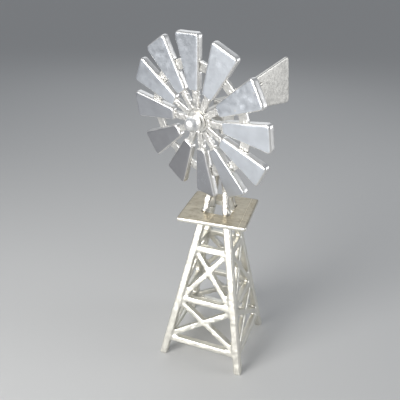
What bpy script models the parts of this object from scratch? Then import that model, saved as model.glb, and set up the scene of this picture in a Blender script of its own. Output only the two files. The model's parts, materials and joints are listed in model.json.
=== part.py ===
"""A table-top farm windmill in silver-coloured cast metal.

The tower stands on the cut ends of its four legs, with its axis on +Z and its front towards -Y.
The head swivels on the mast, dips forward a little, and carries the tail vane and the wheel.
"""

import math

import bmesh
import bpy
from mathutils import Matrix, Vector

# Driving dimensions, in metres. Heights are above the ground that the feet stand on.
FIT_GAP = 0.0003  # between pieces that touch
RUNNING_GAP = 0.0003  # round a pin or a shaft that turns

NECK_HEIGHT = 0.1158  # underside of the platform
FOOT_HALF_SPACING = 0.0306  # a leg's middle from the tower's axis, along X and along Y, at the ground
NECK_HALF_SPACING = 0.0086  # the same, under the platform
LEG_WIDTH = 0.0055
GIRT_HEIGHTS = {"low": 0.0148, "middle": 0.0495, "high": 0.0909}
GIRT_WIDTH = 0.0045
GIRT_THICKNESS = 0.0046
BRACE_WIDTH = 0.0038
BRACE_THICKNESS = 0.0040
BRACE_END_INSETS = {"lower": 0.0013, "upper": 0.0}  # how far inside the bay's corner a brace's middle line ends
BAR_CHAMFER = 0.0005

PLATFORM_WIDTH = 0.0494
PLATFORM_THICKNESS = 0.0034
PLATFORM_CORNER = 0.0016
PLATFORM_EDGE = 0.0011
PLATFORM_TURN = math.radians(4.5)
POST_WIDTH = 0.0041
POST_FOOT_INSET = 0.0004  # a post's middle inside the leg's middle that it stands on
POST_TOP_HALF_SPACING = 0.0038
POST_HEIGHT = 0.0308

CAP_HEIGHT = 0.0055
CAP_MARGIN = 0.0006  # how far the cap stands out past the posts
MAST_RADIUS = 0.0028
MAST_FLANGE_RADIUS = 0.0042
MAST_FLANGE_HEIGHT = 0.0014
MAST_SPIGOT_RADIUS = 0.0017
PIVOT_PIN_RADIUS = 0.0016
PIVOT_PIN_LENGTH = 0.0068

HEAD_TURN = math.radians(-20.0)
HEAD_DIP = math.radians(12.0)
TIP_ABOVE_PLATFORM = 0.0163  # the lowest blade's tip
TIP_CLEARANCE = 0.0008  # from that tip to the posts' corners, as the head turns
HEAD_WIDTH = 0.0090
HEAD_LENGTH = 0.0130
HEAD_ABOVE_SHAFT = 0.0046
HEAD_BELOW_SHAFT = 0.0126
HEAD_EDGE = 0.0011
NOSE_RADIUS = 0.0036
NOSE_TO_HUB = 0.0037  # from the end of the shaft's bearing to the hub
SHAFT_RADIUS = 0.0021
SHAFT_END_RADIUS = 0.0029
SHAFT_END_LENGTH = 0.0016
THRUST_FACE = 0.0020  # where the shaft's end bears on the block, behind the tower's axis

BOOM_RADIUS = 0.0021
BOOM_SOCKET_DEPTH = 0.0022
BOOM_SLOT_LENGTH = 0.0100
VANE_FRONT = 0.0325  # behind the tower's axis, along the boom
VANE_LENGTH = 0.0451
VANE_TOP_FRONT = 0.0062  # above and below the boom's middle
VANE_TOP_REAR = 0.0089
VANE_BOTTOM_FRONT = -0.0158
VANE_BOTTOM_REAR = -0.0279
VANE_THICKNESS = 0.0024
VANE_CORNER = 0.0028
VANE_EDGE = 0.0005

BLADE_TIP_RADIUS = 0.0545
BLADE_ROOT_RADIUS = 0.0197
BLADE_TIP_WIDTH = 0.0192
BLADE_ROOT_WIDTH = 0.0082
BLADE_THICKNESS = 0.0050
BLADE_CORNER = 0.0022
BLADE_EDGE = 0.0008
# Each blade was set by hand, so their pitches differ. A positive one sets the clockwise edge back. In degrees.
BLADE_PITCHES = (0.0, 4.0, -8.0, 2.0, 5.0, 7.0, 8.0, 7.0, 3.0, -1.0, 0.0, 2.0)
BLADE_COUNT = len(BLADE_PITCHES)
# Three blades also sit a little clockwise of their even places. In degrees, by the blade's number.
BLADE_SWINGS = {3: 1.2, 10: 2.2, 11: 0.6}
RING_INNER_RADIUS = 0.0326
RING_OUTER_RADIUS = 0.0390
RING_THICKNESS = 0.0020
RING_FORWARD = 0.0004  # the ring's front face, ahead of the blades' middle plane
ARM_WIDTH = 0.0042
ARM_THICKNESS = 0.0034
ARM_FORWARD = 0.0014  # the arms' front face, ahead of the blades' middle plane
HUB_MARGIN = 0.0003  # how far the hub reaches past the corners where its arms meet
HUB_THICKNESS = 0.0040
HUB_FORWARD = 0.0008
COLLAR_RADIUS = 0.0060
COLLAR_THICKNESS = 0.0012
NUT_RADIUS = 0.0051
NUT_NECK_RADIUS = 0.0043
NUT_NECK_LENGTH = 0.0010
STUB_RADIUS = 0.0015
STUB_LENGTH = 0.0050

ROUND_STEPS = 32
RING_STEPS = 60

FACES = ("front", "right", "back", "left")
QUARTER = math.pi / 2


# The scene, its collections and the materials

def clear_scene():
    for obj in list(bpy.data.objects):
        bpy.data.objects.remove(obj)


def make_collection(name):
    collection = bpy.data.collections.new(name)
    bpy.context.scene.collection.children.link(collection)
    return collection


def metal(name, colour, roughness):
    material = bpy.data.materials.new(name)
    material.use_nodes = True
    shader = material.node_tree.nodes["Principled BSDF"]
    shader.inputs["Base Color"].default_value = (*colour, 1.0)
    shader.inputs["Metallic"].default_value = 1.0
    shader.inputs["Roughness"].default_value = roughness
    return material


clear_scene()
PIECES = make_collection("farm_windmill")
CUTTERS = make_collection("cutters")
CUTTERS.hide_render = True


def add_piece(name, mesh, finish, parent=None, location=(0, 0, 0), rotation=(0, 0, 0)):
    colour, roughness = finish
    piece = bpy.data.objects.new(name, mesh)
    piece.data.materials.append(metal(name, colour, roughness))
    piece.parent = parent
    piece.location = location
    piece.rotation_euler = rotation
    PIECES.objects.link(piece)
    return piece


def add_cutter(name, mesh, parent=None, location=(0, 0, 0), rotation=(0, 0, 0)):
    cutter = bpy.data.objects.new(name, mesh)
    cutter.parent = parent
    cutter.location = location
    cutter.rotation_euler = rotation
    cutter.hide_render = True
    cutter.display_type = "WIRE"
    CUTTERS.objects.link(cutter)
    return cutter


def add_empty(name, parent=None, location=(0, 0, 0), rotation=(0, 0, 0)):
    empty = bpy.data.objects.new(name, None)
    empty.parent = parent
    empty.location = location
    empty.rotation_euler = rotation
    PIECES.objects.link(empty)
    return empty


CAST = ((0.78, 0.76, 0.71), 0.38)
PLATE = ((0.62, 0.59, 0.53), 0.40)
SATIN = ((0.80, 0.82, 0.86), 0.26)
VANE_METAL = ((0.56, 0.55, 0.51), 0.36)
POLISHED = ((0.86, 0.86, 0.84), 0.12)
STEEL = ((0.55, 0.55, 0.56), 0.30)


# Shapes that several pieces share

def box_mesh(name, low, high):
    """A box between two corners."""
    low, high = Vector(low), Vector(high)
    bm = bmesh.new()
    bmesh.ops.create_cube(bm, size=1.0)
    bmesh.ops.scale(bm, vec=high - low, verts=bm.verts)
    bmesh.ops.translate(bm, vec=(low + high) / 2, verts=bm.verts)
    return finish_mesh(bm, name)


def finish_mesh(bm, name):
    mesh = bpy.data.meshes.new(name)
    bm.to_mesh(mesh)
    bm.free()
    return mesh


def cylinder_mesh(name, radius, low, high, steps=ROUND_STEPS):
    """A cylinder round Z between two heights."""
    bm = bmesh.new()
    bmesh.ops.create_cone(bm, cap_ends=True, segments=steps, radius1=radius, radius2=radius, depth=high - low)
    bmesh.ops.translate(bm, vec=(0, 0, (low + high) / 2), verts=bm.verts)
    return finish_mesh(bm, name)


def bevel(piece, width, segments=1, angle=math.radians(35)):
    modifier = piece.modifiers.new("edges", "BEVEL")
    modifier.width = width
    modifier.segments = segments
    modifier.limit_method = "ANGLE"
    modifier.angle_limit = angle
    return modifier


def boolean(piece, cutter, operation="DIFFERENCE"):
    modifier = piece.modifiers.new(operation.lower(), "BOOLEAN")
    modifier.operation = operation
    modifier.object = cutter
    return modifier


def profile_mesh(name, profile, closed):
    """The wire that a turned shape is made from: (radius, height) points, top to bottom on the outer side."""
    bm = bmesh.new()
    verts = [bm.verts.new((radius, 0, height)) for radius, height in profile]
    for first, second in zip(verts, verts[1:]):
        bm.edges.new((first, second))
    if closed:
        bm.edges.new((verts[-1], verts[0]))
    return finish_mesh(bm, name)


def turn_round(obj, steps=ROUND_STEPS):
    screw = obj.modifiers.new("turn", "SCREW")
    screw.steps = screw.render_steps = steps
    screw.use_merge_vertices = True
    screw.merge_threshold = 0.00005


def ring_profile(inner, outer, low, high):
    return [(outer, high), (outer, low), (inner, low), (inner, high)]


def rounded_outline(corners, radius, steps=4):
    """The corners of a flat outline, each one replaced by an arc that touches both of its sides."""
    points = []
    count = len(corners)
    for index, corner in enumerate(corners):
        here = Vector(corner)
        before = (Vector(corners[index - 1]) - here).normalized()
        after = (Vector(corners[(index + 1) % count]) - here).normalized()
        half = before.angle(after) / 2
        reach = radius / math.tan(half)
        middle = here + (before + after).normalized() * radius / math.sin(half)
        start = here + before * reach - middle
        end = here + after * reach - middle
        sweep = start.angle_signed(end)
        for step in range(steps + 1):
            turn = -sweep * step / steps
            arc = Vector((
                start.x * math.cos(turn) - start.y * math.sin(turn),
                start.x * math.sin(turn) + start.y * math.cos(turn),
            ))
            points.append(middle + arc)
    return points


def plate_mesh(name, outline, thickness):
    """A flat plate in XY, half its thickness on each side of it, as a filled 2D curve made into a mesh."""
    curve = bpy.data.curves.new(name, "CURVE")
    curve.dimensions = "2D"
    curve.fill_mode = "BOTH"
    curve.extrude = thickness / 2
    spline = curve.splines.new("POLY")
    spline.points.add(len(outline) - 1)
    for point, place in zip(spline.points, outline):
        point.co = (place[0], place[1], 0, 1)
    spline.use_cyclic_u = True
    holder = bpy.data.objects.new(name, curve)
    bpy.context.scene.collection.objects.link(holder)
    mesh = bpy.data.meshes.new_from_object(holder.evaluated_get(bpy.context.evaluated_depsgraph_get()))
    bpy.data.objects.remove(holder)
    bpy.data.curves.remove(curve)
    bm = bmesh.new()
    bm.from_mesh(mesh)
    bmesh.ops.remove_doubles(bm, verts=bm.verts, dist=0.000001)
    bmesh.ops.dissolve_limit(bm, angle_limit=0.001, verts=bm.verts, edges=bm.edges)
    bmesh.ops.recalc_face_normals(bm, faces=bm.faces)
    bm.to_mesh(mesh)
    bm.free()
    mesh.name = name
    return mesh


# Tower

def half_spacing(height):
    """A leg's middle from the tower's axis at a height."""
    return FOOT_HALF_SPACING + (NECK_HALF_SPACING - FOOT_HALF_SPACING) * height / NECK_HEIGHT


def bay_half_width(height):
    """From the middle of a tower face to a leg's inner side, less the gap that a bar's end keeps to it."""
    return half_spacing(height) - LEG_WIDTH / 2 - FIT_GAP


def leaning_bar(name, width, low, high, lean_x, lean_y, thickness=None):
    """An upright bar of square or oblong section whose middle moves by lean_x, lean_y for each metre it rises."""
    half_x, half_y = width / 2, (thickness or width) / 2
    mesh = box_mesh(name, (-half_x, -half_y, low), (half_x, half_y, high))
    lean = Matrix.Identity(4)
    lean[0][2] = lean_x
    lean[1][2] = lean_y
    mesh.transform(lean)
    return mesh


def add_legs():
    lean = (NECK_HALF_SPACING - FOOT_HALF_SPACING) / NECK_HEIGHT
    top = NECK_HEIGHT - FIT_GAP
    for y_name, y_sign in (("front", -1), ("back", 1)):
        for x_name, x_sign in (("left", -1), ("right", 1)):
            name = f"leg_{y_name}_{x_name}"
            mesh = leaning_bar(name, LEG_WIDTH, 0.0, top, x_sign * lean, y_sign * lean)
            place = (x_sign * FOOT_HALF_SPACING, y_sign * FOOT_HALF_SPACING, 0.0)
            bevel(add_piece(name, mesh, CAST, location=place), BAR_CHAMFER)


def lean_back(mesh, height):
    """Leans a flat mesh that stands on the front face's middle line, so that it follows the tower's batter."""
    lean = Matrix.Identity(4)
    lean[1][2] = (FOOT_HALF_SPACING - NECK_HALF_SPACING) / NECK_HEIGHT
    mesh.transform(lean)
    return (0.0, -half_spacing(height), height)


def trapezoid_mesh(name, low, high, thickness):
    """A solid that fills a tower face from leg to leg between two heights, with its own middle at height zero."""
    middle = (low + high) / 2
    mesh = box_mesh(name, (-1, -thickness / 2, low - middle), (1, thickness / 2, high - middle))
    for vertex in mesh.vertices:
        vertex.co.x *= bay_half_width(vertex.co.z + middle)
    return mesh, middle


def add_girts(face, face_empty):
    for level, height in GIRT_HEIGHTS.items():
        name = f"girt_{face}_{level}"
        low, high = height - GIRT_WIDTH / 2, height + GIRT_WIDTH / 2
        mesh, middle = trapezoid_mesh(name, low, high, GIRT_THICKNESS)
        place = lean_back(mesh, middle)
        bevel(add_piece(name, mesh, CAST, parent=face_empty, location=place), BAR_CHAMFER)


def strip_mesh(name, width, thickness_low, thickness_high, tilt, length):
    """A bar lying in XZ at a tilt, between two depths along Y."""
    mesh = box_mesh(name, (-length / 2, thickness_low, -width / 2), (length / 2, thickness_high, width / 2))
    mesh.transform(Matrix.Rotation(-tilt, 4, "Y"))
    return mesh


def add_braces(face, face_empty, bay, low, high):
    """Two crossed bars between the girts of one bay, each halved where it meets the other."""
    start, end = low + BRACE_END_INSETS[bay], high - BRACE_END_INSETS[bay]
    start_reach, end_reach = bay_half_width(start), bay_half_width(end)
    crossing = start + (end - start) * start_reach / (start_reach + end_reach)
    slope = math.atan2(end - start, start_reach + end_reach)
    reach = 2 * (high - low + start_reach)
    depth = BRACE_THICKNESS / 2
    core_mesh, core_middle = trapezoid_mesh(f"bay_{face}_{bay}", low, high, 3 * BRACE_THICKNESS)
    core_place = lean_back(core_mesh, core_middle)
    core = add_cutter(f"bay_{face}_{bay}", core_mesh, parent=face_empty, location=core_place)
    # The rising bar keeps its front half at the crossing, and the falling bar its back half.
    for direction, tilt, notch_depths in (
        ("rising", slope, (-FIT_GAP / 2, 2 * depth)),
        ("falling", -slope, (-2 * depth, FIT_GAP / 2)),
    ):
        name = f"brace_{face}_{bay}_{direction}"
        mesh = strip_mesh(name, BRACE_WIDTH, -depth, depth, tilt, reach)
        place = lean_back(mesh, crossing)
        brace = add_piece(name, mesh, CAST, parent=face_empty, location=place)
        notch_mesh = strip_mesh(f"notch_{name}", BRACE_WIDTH + 2 * FIT_GAP, *notch_depths, -tilt, reach)
        notch_place = lean_back(notch_mesh, crossing)
        notch = add_cutter(f"notch_{name}", notch_mesh, parent=face_empty, location=notch_place)
        boolean(brace, core, "INTERSECT")
        boolean(brace, notch)


def add_tower_faces():
    clearance = GIRT_WIDTH / 2 + FIT_GAP
    low, middle, high = (GIRT_HEIGHTS[level] for level in ("low", "middle", "high"))
    for index, face in enumerate(FACES):
        face_empty = add_empty(f"face_{face}", rotation=(0, 0, index * QUARTER))
        add_girts(face, face_empty)
        add_braces(face, face_empty, "lower", low + clearance, middle - clearance)
        add_braces(face, face_empty, "upper", middle + clearance, high - clearance)


POST_FOOT_HALF_SPACING = NECK_HALF_SPACING - POST_FOOT_INSET
POST_LEAN = (POST_TOP_HALF_SPACING - POST_FOOT_HALF_SPACING) / POST_HEIGHT
CAP_BOTTOM = NECK_HEIGHT + POST_HEIGHT + FIT_GAP
CAP_TOP = CAP_BOTTOM + CAP_HEIGHT


def add_platform():
    """A square plate that rests on the legs' ends, with a square well whose corners the posts pass through."""
    half = PLATFORM_WIDTH / 2
    corners = [(-half, -half), (half, -half), (half, half), (-half, half)]
    mesh = plate_mesh("platform", rounded_outline(corners, PLATFORM_CORNER), PLATFORM_THICKNESS)
    place = (0, 0, NECK_HEIGHT + PLATFORM_THICKNESS / 2)
    platform = add_piece("platform", mesh, PLATE, location=place, rotation=(0, 0, PLATFORM_TURN))
    bevel(platform, PLATFORM_EDGE, segments=2, angle=math.radians(50))
    side = POST_FOOT_HALF_SPACING + POST_WIDTH / 2 + FIT_GAP
    well = box_mesh("platform_well", (-side, -side, -PLATFORM_THICKNESS), (side, side, PLATFORM_THICKNESS))
    boolean(platform, add_cutter("platform_well", well, location=place))


def add_posts():
    for y_name, y_sign in (("front", -1), ("back", 1)):
        for x_name, x_sign in (("left", -1), ("right", 1)):
            name = f"post_{y_name}_{x_name}"
            mesh = leaning_bar(name, POST_WIDTH, 0.0, POST_HEIGHT, x_sign * POST_LEAN, y_sign * POST_LEAN)
            place = (x_sign * POST_FOOT_HALF_SPACING, y_sign * POST_FOOT_HALF_SPACING, NECK_HEIGHT)
            bevel(add_piece(name, mesh, CAST, location=place), BAR_CHAMFER)


def add_post_cap():
    half = POST_TOP_HALF_SPACING + POST_WIDTH / 2 + CAP_MARGIN
    mesh = box_mesh("post_cap", (-half, -half, 0), (half, half, CAP_HEIGHT))
    cap = add_piece("post_cap", mesh, CAST, location=(0, 0, CAP_BOTTOM))
    bevel(cap, 2 * BAR_CHAMFER, segments=2)
    bore = cylinder_mesh("cap_bore", MAST_SPIGOT_RADIUS + FIT_GAP, -CAP_HEIGHT, 2 * CAP_HEIGHT)
    boolean(cap, add_cutter("cap_bore", bore, location=(0, 0, CAP_BOTTOM)))


# The wheel stands just far enough forward, and the shaft just high enough, for the lowest blade to clear the
# posts and the platform whichever way the head faces.
TIP_ABOVE_NECK = PLATFORM_THICKNESS + TIP_ABOVE_PLATFORM
POST_CORNER_REACH = math.sqrt(2) * (POST_FOOT_HALF_SPACING + POST_LEAN * TIP_ABOVE_NECK + POST_WIDTH / 2)
TIP_SET_BACK = BLADE_TIP_RADIUS * math.tan(HEAD_DIP)
WHEEL_FORWARD = (POST_CORNER_REACH + TIP_CLEARANCE) / math.cos(HEAD_DIP) + TIP_SET_BACK + BLADE_THICKNESS / 2
WHEEL_DROP = BLADE_TIP_RADIUS * math.cos(HEAD_DIP) + WHEEL_FORWARD * math.sin(HEAD_DIP)
SHAFT_HEIGHT = NECK_HEIGHT + TIP_ABOVE_NECK + WHEEL_DROP

MAST_BOTTOM = CAP_TOP + FIT_GAP
MAST_SHOULDER = SHAFT_HEIGHT - HEAD_BELOW_SHAFT - FIT_GAP


def add_mast():
    """A pipe with a flange that sits on the cap, a spigot in the cap's bore and the head's pivot pin on top."""
    flange_top = MAST_BOTTOM + MAST_FLANGE_HEIGHT
    pin_top = MAST_SHOULDER + PIVOT_PIN_LENGTH
    rounding = PIVOT_PIN_RADIUS / 4
    profile = [
        (0, pin_top),
        (PIVOT_PIN_RADIUS - rounding, pin_top),
        (PIVOT_PIN_RADIUS, pin_top - rounding),
        (PIVOT_PIN_RADIUS, MAST_SHOULDER),
        (MAST_RADIUS, MAST_SHOULDER),
        (MAST_RADIUS, flange_top),
        (MAST_FLANGE_RADIUS, flange_top),
        (MAST_FLANGE_RADIUS, MAST_BOTTOM),
        (MAST_SPIGOT_RADIUS, MAST_BOTTOM),
        (MAST_SPIGOT_RADIUS, CAP_BOTTOM),
        (0, CAP_BOTTOM),
    ]
    turn_round(add_piece("mast", profile_mesh("mast", profile, closed=False), CAST))


# Head. Its tilted frame has the shaft along Y, forwards at -Y, and its origin where the shaft crosses the
# tower's axis.

def along_shaft(parent):
    """Turns a piece that was made round Z so that its +Z points forwards along the shaft."""
    return {"parent": parent, "rotation": (QUARTER, 0, 0)}


HUB_BACK = HUB_FORWARD - HUB_THICKNESS
NOSE_FORWARD = WHEEL_FORWARD + HUB_BACK - NOSE_TO_HUB


def add_head_block(turn_empty, tilt_empty):
    """A casting that stands upright on the mast, with the shaft's bearing through it."""
    half_width, half_length = HEAD_WIDTH / 2, HEAD_LENGTH / 2
    low = (-half_width, -half_length, -HEAD_BELOW_SHAFT)
    high = (half_width, half_length, HEAD_ABOVE_SHAFT)
    block = add_piece("head_block", box_mesh("head_block", low, high), CAST, parent=turn_empty)
    bevel(block, HEAD_EDGE, segments=2)
    nose = cylinder_mesh("head_nose", NOSE_RADIUS, 0.0, NOSE_FORWARD)
    boolean(block, add_cutter("head_nose", nose, **along_shaft(tilt_empty)), "UNION")
    bore_top = PIVOT_PIN_LENGTH + RUNNING_GAP - HEAD_BELOW_SHAFT
    pivot_bore = cylinder_mesh("pivot_bore", PIVOT_PIN_RADIUS + RUNNING_GAP, -2 * HEAD_BELOW_SHAFT, bore_top)
    boolean(block, add_cutter("pivot_bore", pivot_bore, parent=turn_empty))
    shaft_bore = cylinder_mesh("shaft_bore", SHAFT_RADIUS + RUNNING_GAP, -HEAD_LENGTH, 2 * NOSE_FORWARD)
    boolean(block, add_cutter("shaft_bore", shaft_bore, **along_shaft(tilt_empty)))
    socket = cylinder_mesh("boom_socket", SHAFT_END_RADIUS + RUNNING_GAP, -HEAD_LENGTH, -THRUST_FACE)
    boolean(block, add_cutter("boom_socket", socket, **along_shaft(tilt_empty)))


def add_boom(tilt_empty):
    """A round rod whose plug closes the back of the shaft's bearing. Its far end is slotted for the vane."""
    plug_front = THRUST_FACE + SHAFT_END_LENGTH + 2 * RUNNING_GAP
    plug_back = plug_front + BOOM_SOCKET_DEPTH
    end = VANE_FRONT + BOOM_SLOT_LENGTH
    profile = [
        (0, -plug_front),
        (SHAFT_END_RADIUS, -plug_front),
        (SHAFT_END_RADIUS, -plug_back),
        (BOOM_RADIUS, -plug_back),
        (BOOM_RADIUS, -end),
        (0, -end),
    ]
    boom = add_piece("tail_boom", profile_mesh("tail_boom", profile, closed=False), CAST, **along_shaft(tilt_empty))
    turn_round(boom)
    half_slot = VANE_THICKNESS / 2 + FIT_GAP
    low = (-half_slot, VANE_FRONT - FIT_GAP, -2 * BOOM_RADIUS)
    high = (half_slot, end + BOOM_SLOT_LENGTH, 2 * BOOM_RADIUS)
    boolean(boom, add_cutter("boom_slot", box_mesh("boom_slot", low, high), parent=tilt_empty))


def add_vane(tilt_empty):
    """A flat plate, upright in the head's middle plane."""
    back = VANE_FRONT + VANE_LENGTH
    corners = [
        (VANE_FRONT, VANE_BOTTOM_FRONT),
        (back, VANE_BOTTOM_REAR),
        (back, VANE_TOP_REAR),
        (VANE_FRONT, VANE_TOP_FRONT),
    ]
    mesh = plate_mesh("tail_vane", rounded_outline(corners, VANE_CORNER), VANE_THICKNESS)
    vane = add_piece("tail_vane", mesh, VANE_METAL, parent=tilt_empty, rotation=(QUARTER, 0, QUARTER))
    bevel(vane, VANE_EDGE)


# Wheel. Its frame has +Z forwards along the shaft, +Y up, and its origin in the blades' middle plane.

RING_BACK = RING_FORWARD - RING_THICKNESS
ARM_ROOT_RADIUS = ARM_WIDTH / 2 / math.tan(math.pi / BLADE_COUNT) + FIT_GAP / 3  # where the arms almost meet
HUB_RADIUS = math.hypot(ARM_ROOT_RADIUS, ARM_WIDTH / 2) + HUB_MARGIN
COLLAR_BACK = HUB_FORWARD + FIT_GAP
COLLAR_FRONT = COLLAR_BACK + COLLAR_THICKNESS
NUT_BACK = COLLAR_FRONT + FIT_GAP
STUB_END = NUT_BACK + STUB_LENGTH
SHAFT_BACK = -WHEEL_FORWARD - THRUST_FACE - RUNNING_GAP


def add_shaft(wheel_empty):
    """The shaft is held at its back by a flange inside the head, and at its front by the nut."""
    profile = [
        (0, STUB_END),
        (STUB_RADIUS, STUB_END),
        (STUB_RADIUS, COLLAR_FRONT),
        (SHAFT_RADIUS, COLLAR_FRONT),
        (SHAFT_RADIUS, SHAFT_BACK),
        (SHAFT_END_RADIUS, SHAFT_BACK),
        (SHAFT_END_RADIUS, SHAFT_BACK - SHAFT_END_LENGTH),
        (0, SHAFT_BACK - SHAFT_END_LENGTH),
    ]
    turn_round(add_piece("wheel_shaft", profile_mesh("wheel_shaft", profile, closed=False), STEEL, parent=wheel_empty))


def add_spider(wheel_empty):
    """The hub, with one straight arm out to the root of each blade."""
    low = (-ARM_WIDTH / 2, ARM_ROOT_RADIUS, ARM_FORWARD - ARM_THICKNESS)
    arm = box_mesh("arm", low, (ARM_WIDTH / 2, BLADE_ROOT_RADIUS - FIT_GAP, ARM_FORWARD))
    arms = bmesh.new()
    for index in range(BLADE_COUNT):
        start = len(arms.verts)
        arms.from_mesh(arm)
        arms.verts.ensure_lookup_table()
        turn = Matrix.Rotation(-2 * math.pi * index / BLADE_COUNT, 4, "Z")
        bmesh.ops.transform(arms, matrix=turn, verts=arms.verts[start:])
    hub = cylinder_mesh("hub_spider", HUB_RADIUS, HUB_BACK, HUB_FORWARD, steps=2 * ROUND_STEPS)
    spider = add_piece("hub_spider", hub, CAST, parent=wheel_empty)
    boolean(spider, add_cutter("hub_arms", finish_mesh(arms, "hub_arms"), parent=wheel_empty), "UNION")
    bore = cylinder_mesh("hub_bore", SHAFT_RADIUS + FIT_GAP, 2 * HUB_BACK, -2 * HUB_BACK)
    boolean(spider, add_cutter("hub_bore", bore, parent=wheel_empty))


def add_ring(wheel_empty):
    profile = ring_profile(RING_INNER_RADIUS, RING_OUTER_RADIUS, RING_BACK, RING_FORWARD)
    ring = add_piece("blade_ring", profile_mesh("blade_ring", profile, closed=True), CAST, parent=wheel_empty)
    turn_round(ring, RING_STEPS)


def blade_mesh():
    """A tapered plate along +Y with rounded corners."""
    corners = [
        (-BLADE_ROOT_WIDTH / 2, BLADE_ROOT_RADIUS),
        (BLADE_ROOT_WIDTH / 2, BLADE_ROOT_RADIUS),
        (BLADE_TIP_WIDTH / 2, BLADE_TIP_RADIUS),
        (-BLADE_TIP_WIDTH / 2, BLADE_TIP_RADIUS),
    ]
    return plate_mesh("blade", rounded_outline(corners, BLADE_CORNER), BLADE_THICKNESS)


def add_blades(wheel_empty):
    """Each blade is recessed across its back, where the ring passes."""
    profile = ring_profile(
        RING_INNER_RADIUS - FIT_GAP,
        RING_OUTER_RADIUS + FIT_GAP,
        RING_BACK - BLADE_THICKNESS,
        RING_FORWARD + FIT_GAP,
    )
    recess = add_cutter("ring_recess", profile_mesh("ring_recess", profile, closed=True), parent=wheel_empty)
    turn_round(recess, RING_STEPS)
    mesh = blade_mesh()
    for index, pitch in enumerate(BLADE_PITCHES):
        number = index + 1
        place = -2 * math.pi * index / BLADE_COUNT - math.radians(BLADE_SWINGS.get(number, 0))
        turns = (0, math.radians(pitch), place)
        blade = add_piece(f"blade_{number:02d}", mesh.copy(), SATIN, parent=wheel_empty, rotation=turns)
        bevel(blade, BLADE_EDGE)
        boolean(blade, recess)


def add_collar(wheel_empty):
    profile = ring_profile(SHAFT_RADIUS + FIT_GAP, COLLAR_RADIUS, COLLAR_BACK, COLLAR_FRONT)
    collar = add_piece("hub_collar", profile_mesh("hub_collar", profile, closed=True), CAST, parent=wheel_empty)
    turn_round(collar)


def add_nut(wheel_empty):
    """A ball on a short neck, with a blind hole for the shaft's stub."""
    neck_top = NUT_BACK + NUT_NECK_LENGTH
    drop = math.sqrt(NUT_RADIUS**2 - NUT_NECK_RADIUS**2)
    middle = neck_top + drop
    last = math.pi - math.asin(NUT_NECK_RADIUS / NUT_RADIUS)
    steps = ROUND_STEPS // 2
    profile = []
    for step in range(steps + 1):
        angle = last * step / steps
        profile.append((NUT_RADIUS * math.sin(angle), middle + NUT_RADIUS * math.cos(angle)))
    hole = STUB_RADIUS + FIT_GAP
    profile += [(NUT_NECK_RADIUS, NUT_BACK), (hole, NUT_BACK), (hole, STUB_END + FIT_GAP), (0, STUB_END + FIT_GAP)]
    turn_round(add_piece("hub_nut", profile_mesh("hub_nut", profile, closed=False), POLISHED, parent=wheel_empty))


def smooth_round_pieces():
    for piece in PIECES.objects:
        if piece.type == "MESH" and any(modifier.type == "SCREW" for modifier in piece.modifiers):
            piece.modifiers["turn"].use_smooth_shade = True


add_legs()
add_tower_faces()
add_platform()
add_posts()
add_post_cap()
add_mast()
head_turn = add_empty("head_turn", location=(0, 0, SHAFT_HEIGHT), rotation=(0, 0, HEAD_TURN))
head_tilt = add_empty("head_tilt", parent=head_turn, rotation=(HEAD_DIP, 0, 0))
add_head_block(head_turn, head_tilt)
add_boom(head_tilt)
add_vane(head_tilt)
wheel_spin = add_empty("wheel_spin", parent=head_tilt, location=(0, -WHEEL_FORWARD, 0), rotation=(QUARTER, 0, 0))
add_shaft(wheel_spin)
add_spider(wheel_spin)
add_ring(wheel_spin)
add_blades(wheel_spin)
add_collar(wheel_spin)
add_nut(wheel_spin)
smooth_round_pieces()
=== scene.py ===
"""The looks of a table-top farm windmill in cast and soldered silver-coloured metal.

The file follows the model as it is put together: the tower, the platform, the posts and the mast, then the
head with its tail, then the wheel. Sizes are in metres.
"""

import json
import math

import bmesh
import bpy
from mathutils import Matrix, Vector


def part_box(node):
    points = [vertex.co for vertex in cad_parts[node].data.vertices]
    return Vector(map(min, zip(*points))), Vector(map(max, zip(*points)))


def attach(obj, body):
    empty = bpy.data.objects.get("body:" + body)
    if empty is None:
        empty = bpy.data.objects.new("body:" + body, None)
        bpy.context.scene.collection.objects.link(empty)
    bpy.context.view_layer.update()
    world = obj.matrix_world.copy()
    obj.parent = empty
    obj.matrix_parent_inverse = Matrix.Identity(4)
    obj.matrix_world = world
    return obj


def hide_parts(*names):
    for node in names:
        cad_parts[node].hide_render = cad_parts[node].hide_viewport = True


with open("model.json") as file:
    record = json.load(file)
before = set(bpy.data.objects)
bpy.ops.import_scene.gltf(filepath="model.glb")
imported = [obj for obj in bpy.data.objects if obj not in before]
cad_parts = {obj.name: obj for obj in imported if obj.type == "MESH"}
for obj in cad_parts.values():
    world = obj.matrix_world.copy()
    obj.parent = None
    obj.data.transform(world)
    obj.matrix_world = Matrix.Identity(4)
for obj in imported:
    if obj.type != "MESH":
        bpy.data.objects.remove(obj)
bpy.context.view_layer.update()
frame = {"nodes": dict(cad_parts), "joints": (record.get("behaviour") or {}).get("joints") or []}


# Camera. It stands close to the model, above it and a little to the right of its front, and is turned
# slightly towards the left of the tower.

CAMERA_PLACE = Vector((0.0933, -0.2925, 0.2680))
CAMERA_YAW = math.radians(20.34)
CAMERA_PITCH = math.radians(25.02)
CAMERA_ROLL = math.radians(1.61)

camera_data = bpy.data.cameras.new("camera")
camera_data.sensor_width = 36.0
camera_data.lens = 42.36
camera_data.clip_start = 0.01
camera = bpy.data.objects.new("camera", camera_data)
aim = Matrix.Rotation(CAMERA_YAW, 4, "Z") @ Matrix.Rotation(math.pi / 2 - CAMERA_PITCH, 4, "X")
camera.matrix_world = Matrix.Translation(CAMERA_PLACE) @ aim @ Matrix.Rotation(CAMERA_ROLL, 4, "Z")
bpy.context.scene.collection.objects.link(camera)
bpy.context.scene.camera = camera


# Studio. A plain pale floor under an even pale sky. A soft key light stands at the left front, a weaker one
# low in front, a large one high behind, and one at the right and a little behind.

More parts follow.
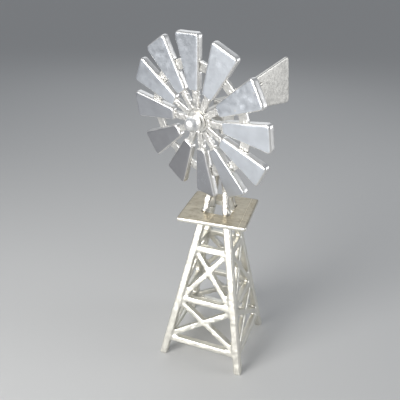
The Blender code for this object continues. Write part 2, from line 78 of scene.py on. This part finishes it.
FLOOR_SIZE = 24.0
FLOOR_GREY = (0.58, 0.58, 0.575, 1.0)
FLOOR_ROUGHNESS = 0.9
SKY_COLOUR = (0.90, 0.94, 1.0, 1.0)
SKY_STRENGTH = 0.34
LIT_POINT = Vector((0.0, 0.0, 0.12))  # what every light faces, about the middle of the model

floor_bm = bmesh.new()
bmesh.ops.create_grid(floor_bm, x_segments=1, y_segments=1, size=FLOOR_SIZE / 2)
floor_mesh = bpy.data.meshes.new("floor")
floor_bm.to_mesh(floor_mesh)
floor_bm.free()
floor = bpy.data.objects.new("floor", floor_mesh)
bpy.context.scene.collection.objects.link(floor)
floor_paint = bpy.data.materials.new("floor_paint")
floor_paint.use_nodes = True
floor_shader = floor_paint.node_tree.nodes["Principled BSDF"]
floor_shader.inputs["Base Color"].default_value = FLOOR_GREY
floor_shader.inputs["Roughness"].default_value = FLOOR_ROUGHNESS
floor_mesh.materials.append(floor_paint)

sky = bpy.data.worlds.new("sky")
sky.use_nodes = True
sky.node_tree.nodes["Background"].inputs["Color"].default_value = SKY_COLOUR
sky.node_tree.nodes["Background"].inputs["Strength"].default_value = SKY_STRENGTH
bpy.context.scene.world = sky


def add_soft_light(name, place, size, power, spread_angle, colour):
    """A square area light that faces the middle of the model and spreads over an angle in degrees."""
    light = bpy.data.lights.new(name, "AREA")
    light.size = size
    light.energy = power
    light.spread = math.radians(spread_angle)
    light.color = colour
    holder = bpy.data.objects.new(name, light)
    holder.location = place
    holder.visible_camera = False
    holder.rotation_euler = (LIT_POINT - Vector(place)).to_track_quat("-Z", "Y").to_euler()
    bpy.context.scene.collection.objects.link(holder)


add_soft_light("key", (-0.36, -0.56, 0.42), 0.36, 1.95, 120, (1.0, 0.99, 0.97))
add_soft_light("front", (-0.20, -1.05, 0.22), 0.45, 1.0, 75, (1.0, 0.99, 0.96))
add_soft_light("back", (-0.30, 0.80, 0.95), 0.90, 1.8, 180, (0.94, 0.97, 1.0))
add_soft_light("side", (1.00, 0.25, 0.30), 0.50, 1.5, 120, (0.97, 0.98, 1.0))
bpy.context.scene.view_settings.view_transform = "Standard"


# Tower frame. Four leaning legs, twelve girts and sixteen crossed braces, cast in a white metal, filed by
# hand and soldered together. The solder has run into every corner, so the bars are one skin with fillets.

TOWER_SILVER = (0.86, 0.84, 0.77)
GIRT_LUMP = 0.0027  # the radius of the solder at a girt's ends
BRACE_LUMP = 0.0023
LUMP_STEPS = 2
LUMP_UNEVENNESS = 0.35
MERGE_DISTANCE = 0.00002
MOST_SHELL_FACTOR = 2.0  # how much farther than the swell a sharp corner may move


def link(tree, source, source_socket, target, target_socket):
    tree.links.new(source.outputs[source_socket], target.inputs[target_socket])


def add_node(tree, kind, **values):
    """A node with its settings, and its unlinked inputs, which are given by number as _0, _1 and so on."""
    node = tree.nodes.new(kind)
    for name, value in values.items():
        if name.startswith("_"):
            node.inputs[int(name[1:])].default_value = value
        else:
            setattr(node, name, value)
    return node


def add_noise(tree, coordinates, size, detail=3.0, roughness=0.55):
    """Noise whose patches are about as wide as size. The coordinates are a (node, output name) pair."""
    noise = add_node(tree, "ShaderNodeTexNoise")
    noise.inputs["Scale"].default_value = 1.0 / size
    noise.inputs["Detail"].default_value = detail
    noise.inputs["Roughness"].default_value = roughness
    tree.links.new(coordinates[0].outputs[coordinates[1]], noise.inputs["Vector"])
    return noise


def spread(tree, source, socket, low, high, to_low, to_high):
    """Maps the range low to high of a value to another range."""
    node = add_node(tree, "ShaderNodeMapRange")
    for name, value in (("From Min", low), ("From Max", high), ("To Min", to_low), ("To Max", to_high)):
        node.inputs[name].default_value = value
    link(tree, source, socket, node, "Value")
    return node


def blend_colours(tree, factor, factor_socket, first, second):
    """A mix of two colours. Each one is a colour, or a (node, output name) pair."""
    mix = add_node(tree, "ShaderNodeMix", data_type="RGBA")
    link(tree, factor, factor_socket, mix, 0)
    for socket, source in ((6, first), (7, second)):
        if isinstance(source[0], bpy.types.Node):
            tree.links.new(source[0].outputs[source[1]], mix.inputs[socket])
        else:
            mix.inputs[socket].default_value = (*source, 1.0)
    return mix


def scaled(colour, amount):
    return tuple(channel * amount for channel in colour)


def cast_metal(name, colour, roughness, grain=0.0009, grain_depth=0.00010, tarnish=0.55, shine=0.08):
    """Cast metal: a fine grain, uneven tone and roughness, tarnish in the corners and edges rubbed bright."""
    metal = bpy.data.materials.new(name)
    metal.use_nodes = True
    tree = metal.node_tree
    shader = tree.nodes["Principled BSDF"]
    shader.inputs["Metallic"].default_value = 1.0
    place = (add_node(tree, "ShaderNodeTexCoord"), "Object")
    patches = add_noise(tree, place, 0.012, detail=4.0)
    grains = add_noise(tree, place, grain, detail=5.0, roughness=0.65)
    pits = add_noise(tree, place, 4 * grain, detail=3.0)
    patch_share = spread(tree, patches, 0, 0.35, 0.65, 0.0, 1.0)
    base = blend_colours(tree, patch_share, 0, scaled(colour, 0.90), colour)
    hollow = spread(tree, add_node(tree, "ShaderNodeNewGeometry"), "Pointiness", 0.42, 0.50, 1.0, 0.0)
    ridge = spread(tree, add_node(tree, "ShaderNodeNewGeometry"), "Pointiness", 0.51, 0.58, 0.0, 1.0)
    dulled = blend_colours(tree, hollow, 0, (base, 2), scaled(colour, tarnish))
    rubbed = blend_colours(tree, ridge, 0, (dulled, 2), scaled(colour, 1.0 + shine))
    link(tree, rubbed, 2, shader, "Base Color")
    uneven = spread(tree, pits, 0, 0.3, 0.7, roughness - 0.07, roughness + 0.10)
    link(tree, uneven, 0, shader, "Roughness")
    relief = add_node(tree, "ShaderNodeMath", operation="MULTIPLY_ADD", _1=0.6)
    link(tree, grains, 0, relief, 0)
    link(tree, pits, 0, relief, 2)
    bump = add_node(tree, "ShaderNodeBump")
    bump.inputs["Strength"].default_value = 0.8
    bump.inputs["Distance"].default_value = grain_depth
    link(tree, relief, 0, bump, "Height")
    link(tree, bump, "Normal", shader, "Normal")
    return metal


def new_tree(name, inputs):
    """An empty geometry tree with a Geometry input and output and the named inputs, and its two end nodes."""
    tree = bpy.data.node_groups.new(name, "GeometryNodeTree")
    tree.interface.new_socket("Geometry", in_out="INPUT", socket_type="NodeSocketGeometry")
    for label, kind in inputs:
        tree.interface.new_socket(label, in_out="INPUT", socket_type=f"NodeSocket{kind}")
    tree.interface.new_socket("Geometry", in_out="OUTPUT", socket_type="NodeSocketGeometry")
    return tree, tree.nodes.new("NodeGroupInput"), tree.nodes.new("NodeGroupOutput")


def end_tree(tree, entry, output, source, socket):
    """Ends a tree in Realize Instances and Set Material."""
    realize = add_node(tree, "GeometryNodeRealizeInstances")
    paint = add_node(tree, "GeometryNodeSetMaterial")
    link(tree, source, socket, realize, 0)
    link(tree, realize, 0, paint, "Geometry")
    link(tree, entry, "Material", paint, "Material")
    link(tree, paint, 0, output, 0)


def make_hand_finish():
    """Moves a surface in and out along its normals by smooth noise, as casting and filing leave it."""
    inputs = (("Depth", "Float"), ("Size", "Float"), ("Seed", "Float"), ("Material", "Material"))
    tree, entry, output = new_tree("hand_finish", inputs)
    per_metre = add_node(tree, "ShaderNodeMath", operation="DIVIDE", _0=1.0)
    noise = add_node(tree, "ShaderNodeTexNoise", noise_dimensions="4D")
    noise.inputs["Detail"].default_value = 2.5
    centred = add_node(tree, "ShaderNodeMath", operation="SUBTRACT", _1=0.5)
    height = add_node(tree, "ShaderNodeMath", operation="MULTIPLY")
    offset = add_node(tree, "ShaderNodeVectorMath", operation="SCALE")
    move = add_node(tree, "GeometryNodeSetPosition")
    link(tree, entry, "Size", per_metre, 1)
    link(tree, add_node(tree, "GeometryNodeInputPosition"), 0, noise, "Vector")
    link(tree, per_metre, 0, noise, "Scale")
    link(tree, entry, "Seed", noise, "W")
    link(tree, noise, 0, centred, 0)
    link(tree, centred, 0, height, 0)
    link(tree, entry, "Depth", height, 1)
    link(tree, add_node(tree, "GeometryNodeInputNormal"), 0, offset, 0)
    link(tree, height, 0, offset, "Scale")
    link(tree, entry, "Geometry", move, "Geometry")
    link(tree, offset, 0, move, "Offset")
    end_tree(tree, entry, output, move, 0)
    return tree


def make_solder_lumps():
    """Puts an uneven lump of solder on each point. The point's own radius says how big."""
    inputs = (("Unevenness", "Float"), ("Seed", "Int"), ("Material", "Material"))
    tree, entry, output = new_tree("solder_lumps", inputs)
    ball = add_node(tree, "GeometryNodeMeshIcoSphere")
    ball.inputs["Radius"].default_value = 1.0
    ball.inputs["Subdivisions"].default_value = LUMP_STEPS
    radius = add_node(tree, "GeometryNodeInputNamedAttribute", data_type="FLOAT", _0="radius")
    full_turn = (math.tau, math.tau, math.tau)
    turn = add_node(tree, "FunctionNodeRandomValue", data_type="FLOAT_VECTOR", _1=full_turn)
    squeeze = add_node(tree, "FunctionNodeRandomValue", data_type="FLOAT_VECTOR", _1=(1.0, 1.0, 1.0))
    least = add_node(tree, "ShaderNodeMath", operation="SUBTRACT", _0=1.0)
    size = add_node(tree, "ShaderNodeVectorMath", operation="SCALE")
    lumps = add_node(tree, "GeometryNodeInstanceOnPoints")
    link(tree, entry, "Unevenness", least, 1)
    link(tree, least, 0, squeeze, 0)
    link(tree, entry, "Seed", turn, "Seed")
    link(tree, entry, "Seed", squeeze, "Seed")
    link(tree, squeeze, 0, size, 0)
    link(tree, radius, 0, size, "Scale")
    link(tree, entry, "Geometry", lumps, "Points")
    link(tree, ball, 0, lumps, "Instance")
    link(tree, turn, 0, lumps, "Rotation")
    link(tree, size, 0, lumps, "Scale")
    end_tree(tree, entry, output, lumps, 0)
    return tree


hand_finish = make_hand_finish()
solder_lumps = make_solder_lumps()


def object_from(name, source):
    """A new object in the scene from a bmesh or a mesh."""
    mesh = source
    if isinstance(source, bmesh.types.BMesh):
        mesh = bpy.data.meshes.new(name)
        source.to_mesh(mesh)
        source.free()
    piece = bpy.data.objects.new(name, mesh)
    bpy.context.scene.collection.objects.link(piece)
    return piece


def add_tree(piece, tree, **values):
    """A Geometry Nodes modifier with its inputs set by their sockets' identifiers."""
    modifier = piece.modifiers.new(tree.name, "NODES")
    modifier.node_group = tree
    for item in tree.interface.items_tree:
        if item.in_out == "INPUT" and item.name in values:
            modifier[item.identifier] = values[item.name]


def settle(piece):
    """Makes an object's modifiers part of its mesh."""
    graph = bpy.context.evaluated_depsgraph_get()
    mesh = bpy.data.meshes.new_from_object(piece.evaluated_get(graph))
    name = piece.name
    old = piece.data
    piece.modifiers.clear()
    piece.data = mesh
    bpy.data.meshes.remove(old)
    mesh.name = name
    return piece


def lump_mesh(points, unevenness, seed, material):
    """The solder lumps for a list of (place, radius) pairs."""
    mesh = bpy.data.meshes.new("lumps")
    mesh.from_pydata([place for place, _ in points], [], [])
    radii = mesh.attributes.new("radius", "FLOAT", "POINT")
    radii.data.foreach_set("value", [radius for _, radius in points])
    holder = object_from("lumps", mesh)
    add_tree(holder, solder_lumps, Unevenness=unevenness, Seed=seed, Material=material)
    settle(holder)
    lumps = holder.data
    bpy.data.objects.remove(holder)
    return lumps


def solder_together(name, nodes, material, voxel, swell, depth, size, seed, passes=6, lumps=()):
    """One skin over the solids of some CAD nodes and the solder between them.

    The solids swell until they touch, are covered with one skin, are smoothed, and shrink back by as much,
    which leaves a fillet in each corner. Noise of the given depth and size makes the surface uneven.
    """
    bm = bmesh.new()
    for node in nodes:
        bm.from_mesh(frame["nodes"][node].data)
    bmesh.ops.remove_doubles(bm, verts=bm.verts, dist=MERGE_DISTANCE)
    bmesh.ops.recalc_face_normals(bm, faces=bm.faces)
    bm.normal_update()
    moves = [v.normal * swell * min(v.calc_shell_factor(), MOST_SHELL_FACTOR) for v in bm.verts]
    for vertex, move in zip(bm.verts, moves):
        vertex.co += move
    if lumps:
        bm.from_mesh(lump_mesh(lumps, LUMP_UNEVENNESS, seed, material))
    piece = object_from(name, bm)
    skin = piece.modifiers.new("skin", "REMESH")
    skin.mode = "VOXEL"
    skin.voxel_size = voxel
    skin.use_smooth_shade = True
    soften = piece.modifiers.new("soften", "SMOOTH")
    soften.iterations = passes
    shrink = piece.modifiers.new("shrink", "DISPLACE")
    shrink.strength = -swell
    shrink.mid_level = 0.0
    add_tree(piece, hand_finish, Depth=depth, Size=size, Seed=float(seed), Material=material)
    settle(piece)
    piece.data.shade_smooth()
    return piece


def finish_piece(piece, body, slot, *nodes):
    """Attaches a finished piece to its body and hides the CAD nodes that it stands for. The slot is not used.
    """
    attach(piece, body)
    if nodes:
        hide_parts(*nodes)


def bar_ends(node, end_share=0.06):
    """The middles of a straight bar's two ends. An end is that share of the bar's length."""
    low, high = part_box(node)
    axis = max(range(3), key=lambda index: high[index] - low[index])
    near = end_share * (high[axis] - low[axis])
    points = [vertex.co for vertex in frame["nodes"][node].data.vertices]
    ends = []
    for level in (low[axis], high[axis]):
        at_end = [point for point in points if abs(point[axis] - level) < near]
        ends.append(sum(at_end, Vector()) / len(at_end))
    return ends


tower_silver = cast_metal("tower_silver", TOWER_SILVER, 0.38, grain_depth=0.00016)
legs = [name for name in frame["nodes"] if name.startswith("leg_")]
girts = [name for name in frame["nodes"] if name.startswith("girt_")]
braces = [name for name in frame["nodes"] if name.startswith("brace_")]
frame_lumps = [(end, GIRT_LUMP) for girt in girts for end in bar_ends(girt)]
frame_lumps += [(end, BRACE_LUMP) for brace in braces for end in bar_ends(brace)]
tower_frame = solder_together(
    "tower_frame", legs + girts + braces, tower_silver,
    voxel=0.00068, swell=0.00035, depth=0.00090, size=0.006, seed=11, lumps=frame_lumps,
)


def stand_level(piece, ramp=0.003):
    """Brings the rounded feet down to the ground, by less and less up to the ramp's height."""
    lowest = min(vertex.co.z for vertex in piece.data.vertices)
    for vertex in piece.data.vertices:
        vertex.co.z -= lowest * max(0.0, 1.0 - (vertex.co.z - lowest) / ramp)


stand_level(tower_frame)
finish_piece(tower_frame, "tower", "tower_casting", *legs, *girts, *braces)


# Platform. A square of rolled plate with rounded edges and a square well in its middle. Its top is warm grey,
# scratched from use, and a line is scribed along one border.

PLATE_GREY = (0.62, 0.56, 0.44)
PLATE_STAIN = (0.36, 0.30, 0.20)
PLATFORM_TURN = math.radians(4.5)
SCRIBED_INSET = 0.0052
SCRATCHES = ((0.10, 16.0, 0.0007), (1.35, 22.0, 0.0009), (0.8, 26.0, 0.0012))  # turn, stretch and width


def scratched_plate(name, colour, stain, edge_colour, turn, edge_line):
    """Rolled plate with crossing scratches, stains, bright edges and a line scribed at x = edge_line."""
    metal = cast_metal(name, colour, 0.38, grain=0.0007, grain_depth=0.00005, tarnish=0.7, shine=0.30)
    tree = metal.node_tree
    shader = tree.nodes["Principled BSDF"]
    old_bump = shader.inputs["Normal"].links[0].from_node
    old_colour = shader.inputs["Base Color"].links[0].from_node
    place = add_node(tree, "ShaderNodeTexCoord")
    square = add_node(tree, "ShaderNodeMapping", vector_type="TEXTURE")
    square.inputs["Rotation"].default_value = (0.0, 0.0, turn)
    link(tree, place, "Object", square, "Vector")
    height = None
    for angle, stretch, size in SCRATCHES:
        along = add_node(tree, "ShaderNodeMapping")
        along.inputs["Rotation"].default_value = (0.0, 0.0, angle)
        along.inputs["Scale"].default_value = (1.0 / stretch, 1.0, 1.0)
        link(tree, square, 0, along, "Vector")
        streaks = add_noise(tree, (along, 0), size, detail=2.0)
        line = spread(tree, streaks, 0, 0.60, 0.72, 0.0, 1.0)
        if height is None:
            height = line
        else:
            total = add_node(tree, "ShaderNodeMath", operation="MAXIMUM")
            link(tree, height, 0, total, 0)
            link(tree, line, 0, total, 1)
            height = total
    apart = add_node(tree, "ShaderNodeSeparateXYZ")
    link(tree, square, 0, apart, 0)
    away = add_node(tree, "ShaderNodeMath", operation="SUBTRACT", _1=edge_line)
    link(tree, apart, 0, away, 0)
    gap = add_node(tree, "ShaderNodeMath", operation="ABSOLUTE")
    link(tree, away, 0, gap, 0)
    scribed = spread(tree, gap, 0, 0.0001, 0.0003, 1.0, 0.0)
    cut = add_node(tree, "ShaderNodeMath", operation="MULTIPLY_ADD", _1=0.35)
    link(tree, height, 0, cut, 0)
    link(tree, scribed, 0, cut, 2)
    blotches = add_noise(tree, (place, "Object"), 0.006, detail=5.0, roughness=0.7)
    stain_share = spread(tree, blotches, 0, 0.47, 0.68, 0.0, 0.75)
    stained = blend_colours(tree, stain_share, 0, (old_colour, 2), stain)
    brighter = blend_colours(tree, cut, 0, (stained, 2), scaled(colour, 1.45))
    facing = add_node(tree, "ShaderNodeSeparateXYZ")
    link(tree, place, "Normal", facing, 0)
    on_top = spread(tree, facing, 2, 0.55, 0.92, 0.0, 1.0)
    whole = blend_colours(tree, on_top, 0, edge_colour, (brighter, 2))
    link(tree, whole, 2, shader, "Base Color")
    bump = add_node(tree, "ShaderNodeBump", invert=True)
    bump.inputs["Strength"].default_value = 0.7
    bump.inputs["Distance"].default_value = 0.00012
    link(tree, cut, 0, bump, "Height")
    link(tree, old_bump, "Normal", bump, "Normal")
    link(tree, bump, "Normal", shader, "Normal")
    return metal


platform_low, platform_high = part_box("platform")
half_across = (platform_high.x - platform_low.x) / 2 / (math.cos(PLATFORM_TURN) + math.sin(PLATFORM_TURN))
plate_grey = scratched_plate(
    "plate_grey", PLATE_GREY, PLATE_STAIN, TOWER_SILVER, PLATFORM_TURN, half_across - SCRIBED_INSET
)
platform_plate = solder_together(
    "platform_plate", ["platform"], plate_grey,
    voxel=0.00055, swell=0.00012, depth=0.00070, size=0.012, seed=23, passes=3,
)
finish_piece(platform_plate, "tower", "platform_plate", "platform")


# Posts. Four short square posts rise from the legs' ends through the platform's well, and a cap joins their
# tops. They are rough castings, with solder run round their feet.

POST_SILVER = (0.80, 0.78, 0.73)
POST_FOOT_LUMP = 0.0036  # the radius of the solder round a post's foot
POST_FOOT_RISE = 0.0005  # how far above the platform that solder's middle is
POST_TOP_LUMP = 0.0026

post_silver = cast_metal("post_silver", POST_SILVER, 0.40, grain=0.0011, grain_depth=0.00016)
posts = [name for name in frame["nodes"] if name.startswith("post_") and name != "post_cap"]
post_lumps = []
for post in posts:
    foot, top = bar_ends(post)
    share = (platform_high.z + POST_FOOT_RISE - foot.z) / (top.z - foot.z)
    post_lumps.append((foot.lerp(top, share), POST_FOOT_LUMP))
    post_lumps.append((top, POST_TOP_LUMP))
post_stand = solder_together(
    "post_stand", [*posts, "post_cap"], post_silver,
    voxel=0.00042, swell=0.00030, depth=0.00130, size=0.0045, seed=31, lumps=post_lumps,
)
finish_piece(post_stand, "tower", "head_casting", *posts, "post_cap")


# Mast. A short pipe with a flange that is soldered on the cap. The head swivels on the pin at its top.

mast_pipe = solder_together(
    "mast_pipe", ["mast"], post_silver,
    voxel=0.00034, swell=0.00010, depth=0.00020, size=0.004, seed=37, passes=3,
)
finish_piece(mast_pipe, "tower", "head_casting", "mast")


# Head. A small block cast with the wheel's bearing, filed to soft edges.

HEAD_SILVER = (0.76, 0.74, 0.69)

head_silver = cast_metal("head_silver", HEAD_SILVER, 0.40, grain_depth=0.00014)
head_casting = solder_together(
    "head_casting", ["head_block"], head_silver,
    voxel=0.00036, swell=0.00010, depth=0.00025, size=0.005, seed=41, passes=4,
)
finish_piece(head_casting, "head", "head_casting", "head_block")


# Tail boom. A round rod from the back of the head, slotted at its end to take the vane.

boom_rod = solder_together(
    "boom_rod", ["tail_boom"], head_silver,
    voxel=0.00030, swell=0.00006, depth=0.00018, size=0.005, seed=43, passes=2,
)
finish_piece(boom_rod, "head", "head_casting", "tail_boom")


# Tail vane. A flat plate with rounded corners in a warm light grey, rubbed one way with abrasive paper.

VANE_GREY = (0.86, 0.84, 0.79)


def rubbed_plate(name, colour, along):
    """Plate rubbed with abrasive paper, so that fine lines run one way. The turn along sets which."""
    metal = cast_metal(name, colour, 0.40, grain=0.0006, grain_depth=0.00004, tarnish=0.95, shine=0.10)
    tree = metal.node_tree
    shader = tree.nodes["Principled BSDF"]
    old_bump = shader.inputs["Normal"].links[0].from_node
    place = add_node(tree, "ShaderNodeTexCoord")
    lay = add_node(tree, "ShaderNodeMapping")
    lay.inputs["Rotation"].default_value = along
    lay.inputs["Scale"].default_value = (1.0, 1.0 / 30.0, 1.0)
    link(tree, place, "Object", lay, "Vector")
    streaks = add_noise(tree, (lay, 0), 0.0005, detail=4.0, roughness=0.6)
    bump = add_node(tree, "ShaderNodeBump")
    bump.inputs["Strength"].default_value = 0.6
    bump.inputs["Distance"].default_value = 0.00006
    link(tree, streaks, 0, bump, "Height")
    link(tree, old_bump, "Normal", bump, "Normal")
    link(tree, bump, "Normal", shader, "Normal")
    return metal


wheel_spin = next(joint for joint in frame["joints"] if joint["name"] == "wheel_spin")
shaft_forward = Vector(wheel_spin["axis"]).normalized()
head_turn = math.atan2(shaft_forward.x, -shaft_forward.y)
vane_grey = rubbed_plate("vane_grey", VANE_GREY, (0.0, 0.0, -head_turn))
vane_plate = solder_together(
    "vane_plate", ["tail_vane"], vane_grey,
    voxel=0.00036, swell=0.00008, depth=0.00030, size=0.010, seed=47, passes=10,
)
finish_piece(vane_plate, "head", "vane_plate", "tail_vane")


# Blades. Twelve flat castings, smooth and satin on their faces and bright along their rounded edges. Each has
# been rubbed along its length, and is recessed at the back for the ring.

# Light and shade are painted into the blades' faces blade by blade: a dark grey of painted shade on those at
# the lower left, a painted bright blue-white reflection on the others.
BLADE_SILVER = (0.90, 0.94, 1.0)
BLADE_PAINTED_SHADE = (0.40, 0.40, 0.42)
BLADE_EDGE_SILVER = (0.90, 0.89, 0.87)
# Painted light on each blade's faces, clockwise from the top one: 0 is painted shade in a dull grey, and 1 is
# a painted bright blue-white reflection.
BLADE_PAINTED_LIGHT = (0.90, 1.0, 1.0, 1.0, 1.0, 0.55, 0.20, 0.0, 0.08, 0.40, 0.95, 0.95)


def satin_blade(name, colour, shaded_colour, edge_colour):
    """Satin metal rubbed along the blade. The grain follows the piece's own map, across and along, in metres.

    The attribute "flatness" is 1 on the faces and falls to 0 on the edges. A second attribute paints light
    and shade into the faces, from a shaded dull grey to a bright blue-white reflection.
    """
    metal = cast_metal(name, colour, 0.36, grain=0.0010, grain_depth=0.00001, tarnish=0.60, shine=0.22)
    tree = metal.node_tree
    shader = tree.nodes["Principled BSDF"]
    old_bump = shader.inputs["Normal"].links[0].from_node
    old_colour = shader.inputs["Base Color"].links[0].from_node
    flatness = add_node(tree, "ShaderNodeAttribute", attribute_name="flatness")
    on_face = spread(tree, flatness, "Fac", 0.80, 0.97, 0.0, 1.0)
    polish = add_node(tree, "ShaderNodeAttribute", attribute_name="polish")
    # Painted light and shade on the faces: the shaded grey where a blade is painted dark, the bright silver
    # where it is painted lit.
    face_colour = blend_colours(tree, polish, "Fac", shaded_colour, (old_colour, 2))
    whole = blend_colours(tree, on_face, 0, edge_colour, (face_colour, 2))
    link(tree, whole, 2, shader, "Base Color")
    flat = add_node(tree, "ShaderNodeUVMap", uv_map="rubbing")
    lay = add_node(tree, "ShaderNodeMapping")
    lay.inputs["Scale"].default_value = (1.0, 1.0 / 22.0, 1.0)
    link(tree, flat, 0, lay, "Vector")
    streaks = add_noise(tree, (lay, 0), 0.0006, detail=4.0, roughness=0.6)
    bump = add_node(tree, "ShaderNodeBump")
    bump.inputs["Strength"].default_value = 0.5
    bump.inputs["Distance"].default_value = 0.00002
    link(tree, streaks, 0, bump, "Height")
    link(tree, old_bump, "Normal", bump, "Normal")
    link(tree, bump, "Normal", shader, "Normal")
    return metal


wheel_right = Vector((0, 0, 1)).cross(shaft_forward).normalized()
wheel_up = shaft_forward.cross(wheel_right)
wheel_axes = Matrix((wheel_right, wheel_up, shaft_forward)).transposed().to_4x4()
wheel_frame = Matrix.Translation(wheel_spin["pos_m"]) @ wheel_axes
blade_silver = satin_blade("blade_silver", BLADE_SILVER, BLADE_PAINTED_SHADE, BLADE_EDGE_SILVER)
blade_nodes = sorted(name for name in frame["nodes"] if name.startswith("blade_") and name != "blade_ring")


def map_along(piece, turn, polish):
    """Gives a blade its rubbing map, across it and out along it, its flatness, and the painted light and
    shade on its faces.
    """
    to_blade = Matrix.Rotation(-turn, 4, "Z") @ wheel_frame.inverted()
    places = [to_blade @ vertex.co for vertex in piece.data.vertices]
    layer = piece.data.uv_layers.new(name="rubbing")
    for loop, uv in zip(piece.data.loops, layer.uv):
        uv.vector = places[loop.vertex_index].xy
    flatness = [abs(vertex.normal.dot(shaft_forward)) for vertex in piece.data.vertices]
    for label, values in (("flatness", flatness), ("polish", [polish] * len(flatness))):
        piece.data.attributes.new(label, "FLOAT", "POINT").data.foreach_set("value", values)


for index, node in enumerate(blade_nodes):
    blade = solder_together(
        f"{node}_casting", [node], blade_silver,
        voxel=0.00046, swell=0.00010, depth=0.00060, size=0.014, seed=60 + index, passes=14,
    )
    # Each blade's faces take their painted light and shade from the table above.
    map_along(blade, -math.tau * index / len(blade_nodes), BLADE_PAINTED_LIGHT[index])
    finish_piece(blade, "wheel", "blade_plate", node)


# Ring. A cast ring that lies in the blades' recesses, with a lump of solder on each side of every blade.

RING_SILVER = (0.88, 0.87, 0.84)
RING_LUMP = 0.0021
RING_LUMP_REACH = 0.0358  # from the wheel's middle
RING_LUMP_TURN = math.radians(10.5)  # to each side of a blade's middle
RING_LUMP_FORWARD = -0.0008

ring_silver = cast_metal("ring_silver", RING_SILVER, 0.40, grain=0.0010, grain_depth=0.00018)
ring_lumps = []
for index in range(len(blade_nodes)):
    for side in (-1, 1):
        angle = math.tau * index / len(blade_nodes) + side * RING_LUMP_TURN
        across, up = RING_LUMP_REACH * math.sin(angle), RING_LUMP_REACH * math.cos(angle)
        ring_lumps.append((wheel_frame @ Vector((across, up, RING_LUMP_FORWARD)), RING_LUMP))
ring_casting = solder_together(
    "ring_casting", ["blade_ring"], ring_silver,
    voxel=0.00046, swell=0.00010, depth=0.00140, size=0.004, seed=83, passes=3, lumps=ring_lumps,
)
finish_piece(ring_casting, "wheel", "wheel_casting", "blade_ring")


# Spider. The hub and its twelve arms, rough where they were sawn and soldered to the blades' roots.

SPIDER_SILVER = (0.93, 0.915, 0.88)
ROOT_LUMPS = ((0.0205, 0.0, 0.0024), (0.0188, 0.0012, 0.0017))  # reach, how far to one side, and radius
ROOT_LUMP_FORWARD = -0.0002

spider_silver = cast_metal(
    "spider_silver", SPIDER_SILVER, 0.40, grain=0.0010, grain_depth=0.00014, tarnish=0.24, shine=0.12
)
root_lumps = []
for index in range(len(blade_nodes)):
    angle = math.tau * index / len(blade_nodes)
    for reach, across, radius in ROOT_LUMPS:
        spot = Vector((
            reach * math.sin(angle) + across * math.cos(angle),
            reach * math.cos(angle) - across * math.sin(angle),
            ROOT_LUMP_FORWARD,
        ))
        root_lumps.append((wheel_frame @ spot, radius))
spider_casting = solder_together(
    "spider_casting", ["hub_spider"], spider_silver,
    voxel=0.00034, swell=-0.00012, depth=0.00150, size=0.0024, seed=89, passes=3, lumps=root_lumps,
)
finish_piece(spider_casting, "wheel", "wheel_casting", "hub_spider")


# Collar, nut and shaft. A washer and a polished ball nut hold the wheel, which turns on a drawn steel rod.

NUT_SILVER = (0.97, 0.97, 0.965)
SHAFT_STEEL = (0.55, 0.55, 0.56)

collar_washer = solder_together(
    "collar_washer", ["hub_collar"], spider_silver,
    voxel=0.00020, swell=0.00004, depth=0.00020, size=0.003, seed=97, passes=2,
)
finish_piece(collar_washer, "wheel", "wheel_casting", "hub_collar")

polished_silver = cast_metal(
    "polished_silver", NUT_SILVER, 0.36, grain=0.0012, grain_depth=0.00003, tarnish=0.6, shine=0.05
)
ball_nut = solder_together(
    "ball_nut", ["hub_nut"], polished_silver,
    voxel=0.00022, swell=0.00004, depth=0.00025, size=0.006, seed=101, passes=8,
)
finish_piece(ball_nut, "wheel", "polished_nut", "hub_nut")

drawn_steel = cast_metal("drawn_steel", SHAFT_STEEL, 0.28, grain=0.0004, grain_depth=0.00003)
shaft_rod = solder_together(
    "shaft_rod", ["wheel_shaft"], drawn_steel,
    voxel=0.00022, swell=0.00003, depth=0.00004, size=0.003, seed=103, passes=2,
)
finish_piece(shaft_rod, "wheel", "shaft_steel", "wheel_shaft")
